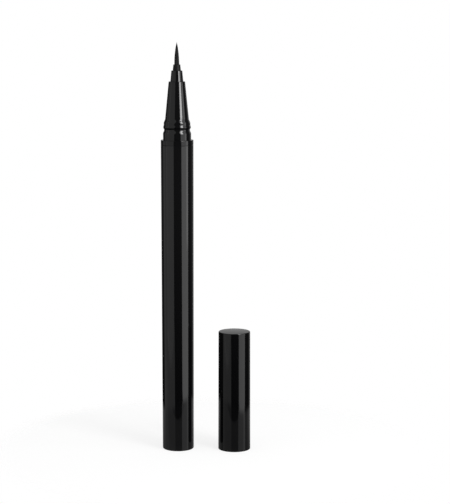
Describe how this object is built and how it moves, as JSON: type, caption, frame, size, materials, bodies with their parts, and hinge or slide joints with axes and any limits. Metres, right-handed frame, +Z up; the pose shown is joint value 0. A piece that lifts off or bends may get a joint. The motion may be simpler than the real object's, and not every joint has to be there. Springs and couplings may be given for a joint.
{
  "type": "liquid eyeliner pen",
  "caption": "Slim round liner pen standing on its tail with a pointed brush tip, its pull-off cap stood mouth down beside it.",
  "frame": {"origin": "middle of the flat face at the pen's tail, on which it stands", "axes": "+Z up along the pen's axis from tail to brush, +X towards the cap that stands beside it"},
  "size_m": [0.0282, 0.0111, 0.1298],
  "materials": {
    "gloss_black": "glossy moulded black",
    "satin_black": "satin moulded black",
    "bristle": "matt charcoal fibre",
    "natural_plastic": "natural milky white",
    "wick_fibre": "bonded fibre",
    "ball_steel": "polished stainless",
    "spring_steel": "drawn stainless wire"
  },
  "bodies": {
    "pen": {"barrel": "gloss_black", "ink_tank": "natural_plastic", "tail_plug": "gloss_black", "collector": "natural_plastic", "ink_wick": "wick_fibre", "front_section": "gloss_black", "tip_sleeve": "gloss_black", "brush_holder": "satin_black", "feed_pipe": "natural_plastic", "brush": "bristle"},
    "ball": {"mixing_ball": "ball_steel"},
    "cap": {"cap_shell": "gloss_black", "inner_cap_spring": "spring_steel"},
    "inner_cap": {"inner_cap": "natural_plastic"}
  },
  "joints": [
    {"name": "ball_slide", "type": "slide", "parent": "pen", "child": "ball", "axis": [0, 0, 1], "range_m": [0, 0.0492]},
    {"name": "cap_lift", "type": "slide", "parent": "pen", "child": "cap", "axis": [0, 0, 1], "range_m": [0, 0.135]},
    {"name": "inner_cap_slide", "type": "slide", "parent": "cap", "child": "inner_cap", "axis": [0, 0, 1], "range_m": [0, 0.003], "stiffness_N_per_m": 340, "springref_m": -0.002, "deforming": ["inner_cap_spring"]}
  ]
}
